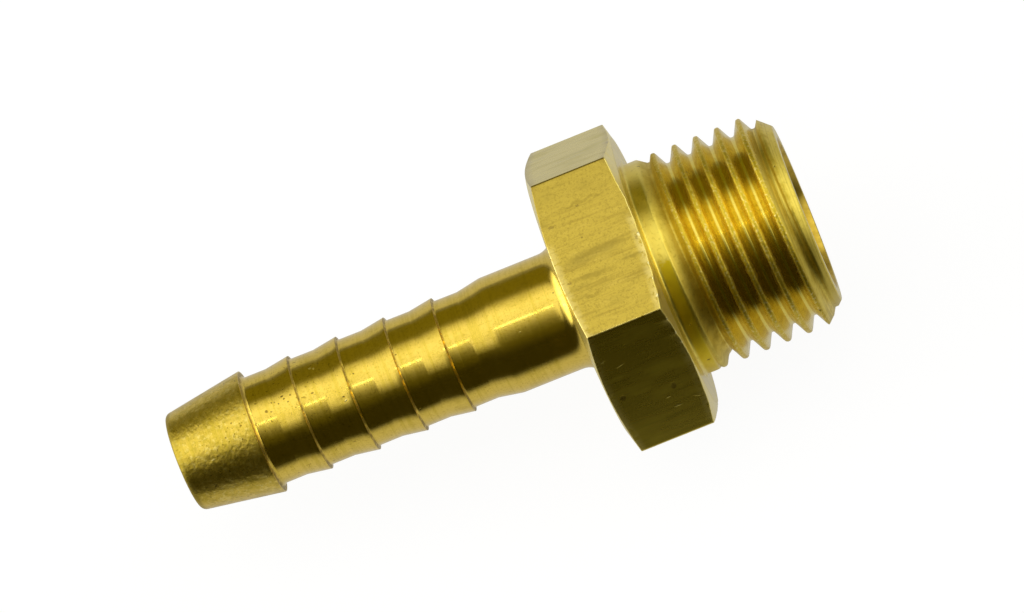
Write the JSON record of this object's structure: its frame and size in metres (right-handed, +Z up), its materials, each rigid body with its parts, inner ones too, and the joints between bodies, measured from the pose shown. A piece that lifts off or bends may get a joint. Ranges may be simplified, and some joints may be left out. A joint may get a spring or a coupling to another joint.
{
  "type": "hose barb tail",
  "caption": "Brass hose tail with a barbed stem for a push-on hose, a hexagon for a spanner and a parallel male pipe thread, bored right through.",
  "frame": {"origin": "on the turning axis, in the plane of the hexagon's shoulder that meets the seal", "axes": "+X along the axis from the barbs to the threaded end; +Z up, out of one flat of the hexagon; +Y out of a corner of the hexagon"},
  "size_m": [0.0395, 0.0196, 0.017],
  "materials": {
    "brass": "bare turned brass, slightly dull, with fine turning lines and a few nicks"
  },
  "bodies": {
    "root": {"hose_barb_tail": "brass"}
  },
  "joints": []
}
